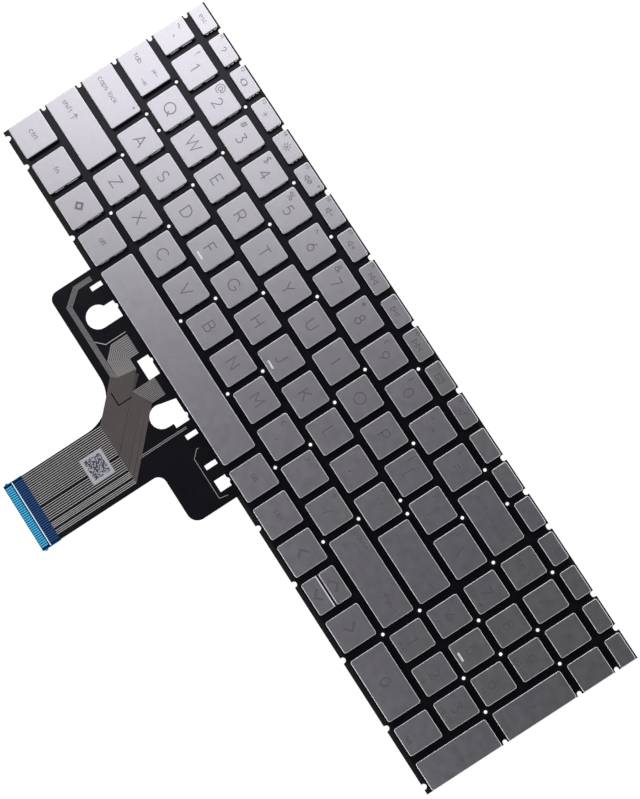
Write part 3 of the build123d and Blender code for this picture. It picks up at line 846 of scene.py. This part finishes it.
def traceRoutes():
    # each trace is three runs: straight down the arm, slanting up and left from the fan, and its bundle
    def at(name, share):
        begin, reach = tail[name]
        return begin + reach * share

    arm = np.concatenate([np.linspace(*g) for g in tail["armGroups"]])
    even = np.linspace(*tail["band"], len(arm))
    start, fan, slope = tail["start"], tail["fan"], tail["slope"]
    lastLeft, lastMiddle = tail["leftCount"], tail["leftCount"] + tail["middleCount"]
    runs = []
    for k, (x, e) in enumerate(zip(arm, even)):
        if k < lastLeft:  # left bundle: along the lobe's lower edge and up its left side
            kind, level, side = "left", at("leftLevel", k), at("leftSide", k)
            turn = e - (level - fan) / slope
            rest = [(turn, level), (at("leftCorner", k), level), (side, at("leftBend", k)), (side, start)]
        elif k < lastMiddle:  # middle bundle: a jog to the left, then up
            kind, j = "middle", (k - lastLeft) / (tail["middleCount"] - 1)
            level, top, cut = at("middleLevel", j), at("middleTop", j), at("middleCut", 1 - j)
            turn = e - (level - fan) / slope
            rest = [(turn, level), (top + cut, level), (top, level + cut), (top, start)]
        else:  # right bundle: straight up from the slant
            kind, top = "right", at("rightTop", (k - lastMiddle) / (len(arm) - 1 - lastMiddle))
            rest = [(top, fan + slope * (e - top)), (top, start)]
        runs += [("arm", [(x, tail["armEnd"]), (x, fan)]), ("slant", [(x, fan), rest[0]]), (kind, rest)]
    return runs


# thin lines on their own: width, then corners
fineLines = [(0.36, [(-64.75, -53.9), (-64.75, -63.9), (-68.2, -67.4)]),
             (0.2, [(-16.2, -53.9), (-16.2, -77.8)]), (0.2, [(-15.5, -53.9), (-15.5, -78.5)]),
             (0.2, [(-5.6, -54.3), (-5.6, -55.4), (-2.6, -58.45), (17.2, -58.45), (18.0, -54.5)])]
traceSlots = {"arm": 0, "slant": 3, "left": 4, "middle": 4, "right": 4}
surface = Surface()
traceLow, traceHigh = filmTop - tail["sunk"] * mm, filmTop + tail["rise"] * mm
for kind, route in traceRoutes():
    surface.add(*flatBar(np.array(route) * mm, tail[kind] * mm, traceLow, traceHigh), traceSlots[kind])
for width, route in fineLines:
    surface.add(*flatBar(np.array(route) * mm, width * mm, traceLow, traceHigh))
ground = np.array(tail["ground"]) * mm  # the tinted ground of the slant
heights = np.full((len(ground), 1), filmTop)
points = np.stack([np.column_stack([ground, heights + tail["groundRise"] * mm]),
                   np.column_stack([ground, heights - tail["sunk"] * mm])])
surface.add(points, [gridFaces(2, len(ground), wrapColumns=True)] + lids(2, len(ground)), 2)
angle = np.array(tail["angle"]) * mm  # the dark angle across the slant
surface.add(*flatBar(angle, tail["angleWidth"] * mm, filmTop, filmTop + tail["angleRise"] * mm), 1)
traceMaterials = dress("traceSilver", "filmPrint", "bandBrown", "traceBrown", "traceGrey")
piece = surface.build("tail_traces", traceMaterials)
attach(piece, "base")

contact = {"count": 30, "pitch": 1.0, "width": 0.62, "first": -35.6, "low": -133.4, "high": -130.2,
           "bandLow": -129.7, "bandHigh": -129.25, "bandLeft": -36.9, "bandRight": -5.3, "lineHigh": -124.7,
           "lineWidth": 0.34, "sunk": 0.01, "rise": 0.014, "bandRise": 0.01, "lineRise": 0.008}
contactLow = filmTop - contact["sunk"] * mm
surface = Surface()
for k in range(contact["count"]):
    x = contact["first"] + k * contact["pitch"]
    finger = np.array([(x, contact["low"]), (x, contact["high"])]) * mm
    surface.add(*flatBar(finger, contact["width"] * mm, contactLow, filmTop + contact["rise"] * mm), 0)
    line = np.array([(x, contact["bandHigh"]), (x, contact["lineHigh"])]) * mm
    surface.add(*flatBar(line, contact["lineWidth"] * mm, contactLow, filmTop + contact["lineRise"] * mm), 2)
level = (contact["bandLow"] + contact["bandHigh"]) / 2
band = np.array([(contact["bandLeft"], level), (contact["bandRight"], level)]) * mm
bandWidth = (contact["bandHigh"] - contact["bandLow"]) * mm
surface.add(*flatBar(band, bandWidth, contactLow, filmTop + contact["bandRise"] * mm), 1)
piece = surface.build("tail_contacts", dress("contactInk", "bandWhite", "lineBlue"))
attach(piece, "base")

surface = Surface()
centre = np.array([sticker["left"] + sticker["right"], sticker["low"] + sticker["high"]]) / 2 * mm
size = np.array([sticker["right"] - sticker["left"], sticker["high"] - sticker["low"]]) * mm
thick = sticker["thick"] * mm
surface.add(*roundedRings(centre, size, sticker["corner"] * mm, np.array([0.15, 0.03, 0.0, 0.0]) * mm,
                          filmTop + np.array([thick, thick, thick * 0.8, 0.0])))
piece = surface.build("tail_sticker", dress("stickerPaper"))
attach(piece, "base")
print("tail dressed")

rim = {"hole": 0.72, "lip": 0.08, "outer": 1.5, "rise": 0.04, "sunk": 0.02, "sides": 20, "walls": 8,
       "reach": (0.866, 0.997), "grid": 0.05, "apart": 2.0}


def holeCentres(nodeName):
    # every upright wall of a small hole faces its middle, so the wall's middle plus its normal times the
    # reach piles up there
    places, corners = readMesh(nodeName)
    triangles = places[corners].astype(float)
    normals = np.cross(triangles[:, 1] - triangles[:, 0], triangles[:, 2] - triangles[:, 0])
    normals /= np.maximum(np.linalg.norm(normals, axis=1), 1e-15)[:, None]
    upright = abs(normals[:, 2]) < 0.01
    middles = (triangles.min(1) + triangles.max(1))[upright][:, :2] / 2
    spots = []
    for reach in rim["reach"]:
        votes = np.round((middles + normals[upright][:, :2] * reach * mm) / (rim["grid"] * mm))
        cells, counts = np.unique(votes, axis=0, return_counts=True)
        spots.append(cells[counts >= rim["walls"]] * rim["grid"] * mm)
    spots = np.concatenate(spots)
    alone = [all(np.linalg.norm(s - t) > rim["apart"] * mm for t in spots[:i]) for i, s in enumerate(spots)]
    return spots[alone]


def addRim(surface, spot):
    # a turned profile, open at both ends: up the outside, over the top, down the bore
    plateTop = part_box("base_plate")[1].z
    high, sunk = plateTop + rim["rise"] * mm, rim["sunk"] * mm
    radii = np.array([rim["outer"], rim["outer"], rim["hole"] + rim["lip"], rim["hole"]]) * mm
    points, (wall, *ends) = turnedRings(spot, radii, [plateTop - sunk, high, high, sunk], rim["sides"])
    surface.add(points, [wall[:, ::-1]])


centres = holeCentres("base_plate")
surface = Surface()
for spot in centres:
    addRim(surface, spot)
piece = surface.build("stake_rims", dress("plateCoat"))
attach(piece, "base")
print("stake holes found:", len(centres))

nodeFinishes = {"base_plate": "plateCoat", "membrane_switch": "filmPrint",
                "tail_stiffener": "stiffenerBlue", "space_bar_wire": "wireSteel"}
for node, name in nodeFinishes.items():
    mesh = frame["nodes"][node].data
    mesh.materials.clear()
    mesh.materials.append(finishes[name])

stage = {"floorDrop": 0.1, "floorSide": 4.0, "floorGrey": 0.9, "shadowShare": 0.07, "glow": 1.05}
side = stage["floorSide"] / 2
drop = -stage["floorDrop"] * mm
floorMesh = bpy.data.meshes.new("floor")
floorMesh.from_pydata([(-side, -side, drop), (side, -side, drop), (side, side, drop), (-side, side, drop)],
                      [], [(0, 1, 2, 3)])
floor = bpy.data.objects.new("floor", floorMesh)
bpy.context.scene.collection.objects.link(floor)
grey = stage["floorGrey"]
floorFinish = newFinish("floorPaper", Roughness=0.9, Specular_IOR_Level=0.0,
                        Base_Color=rgb(grey, grey, grey))
rays = floorFinish.node("LightPath")
onCamera, onGloss, onGlass = (Wire(rays.tree, rays.socket.node.outputs[k])
                              for k in ("Is Camera Ray", "Is Glossy Ray", "Is Transmission Ray"))
seen = onCamera + onGloss + onGlass
paper = Wire(rays.tree, floorFinish.shader.outputs[0])
glow = floorFinish.node("Emission", None, {"Color": rgb(1, 1, 1), "Strength": stage["glow"]})
mixed = floorFinish.node("MixShader", None, {0: seen * (1 - stage["shadowShare"]), 1: paper, 2: glow})
floorFinish.put(floorFinish.tree.nodes["Material Output"].inputs["Surface"], mixed)
floorMesh.materials.append(floorFinish.material)

sky = {"ring": 1.046, "ceiling": 0.002, "from": 0.597, "to": 0.887, "horizon": 0.55, "clear": 0.45,
       "right": 0.242, "back": 0.62, "ends": 0.1}
world = bpy.data.worlds.new("studio")
bpy.context.scene.world = world
world.use_nodes = True
air = Finish(world.node_tree)
split = air.node("SeparateXYZ", None, {0: air.node("TexCoord")})
toRight, toBack, upward = [Wire(air.tree, s) for s in split.socket.node.outputs]
# a ring of pale walls under a dark ceiling: brighter at the back and on the right, dimmer near the ground
ends = toBack * toBack - toRight * toRight
around = 1 + sky["right"] * toRight + sky["back"] * toBack + sky["ends"] * ends
smooth = {"interpolation_type": "SMOOTHSTEP"}
low = air.node("MapRange", smooth, {0: upward, 1: 0.0, 2: sky["clear"], 3: sky["horizon"], 4: 1.0})
wall = air.node("MapRange", smooth, {0: upward, 1: sky["from"], 2: sky["to"], 3: 1.0, 4: 0.0})
share = sky["ring"] * around * low * wall + sky["ceiling"] * (1 - wall)
camera = air.node("LightPath")
strength = camera + (1 - camera) * share
air.put(air.tree.nodes["Background"].inputs["Strength"], strength)
air.put(air.tree.nodes["Background"].inputs["Color"], rgb(1, 1, 1))

lamps = {"softbox": {"place": (-0.788, 0.182, 0.974), "turn": -28.0, "tilt": -22.0,
                     "size": (0.86, 0.80), "power": 4.72},
         "fill": {"place": (0.158, -0.615, 0.756), "turn": -90.0, "tilt": 38.0,
                  "size": (0.4, 1.0), "power": 2.9}}
for name, lamp in lamps.items():
    lampData = bpy.data.lights.new(name, "AREA")
    lampData.shape = "RECTANGLE"
    lampData.size, lampData.size_y = lamp["size"]
    lampData.energy = lamp["power"]
    lampData.color = (1.0, 0.992, 1.0)
    lampObject = bpy.data.objects.new(name, lampData)
    turned = Matrix.Rotation(math.radians(lamp["turn"]), 4, "Z")
    tilted = Matrix.Rotation(math.radians(lamp["tilt"]), 4, "Y")
    lampObject.matrix_world = Matrix.Translation(lamp["place"]) @ turned @ tilted
    bpy.context.scene.collection.objects.link(lampObject)

view = {"place": (0.06746942, 0.002208442, 0.6685874), "right": (0.5434224, 0.837772, -0.05320045),
        "up": (-0.8343337, 0.5460112, 0.07588815), "back": (0.09262501, 0.003147607, 0.9956961),
        "lens": 71.29}
cameraData = bpy.data.cameras.new("camera")
cameraData.lens = view["lens"]
cameraData.sensor_width = 36.0
cameraData.clip_start, cameraData.clip_end = 0.01, 10.0
cameraObject = bpy.data.objects.new("camera", cameraData)
axes = [(*view[k], 0) for k in ("right", "up", "back")] + [(*view["place"], 1)]
cameraObject.matrix_world = Matrix(axes).transposed()
bpy.context.scene.collection.objects.link(cameraObject)
bpy.context.scene.camera = cameraObject
bpy.context.scene.view_settings.view_transform = "Standard"
print("stage, light and camera set")
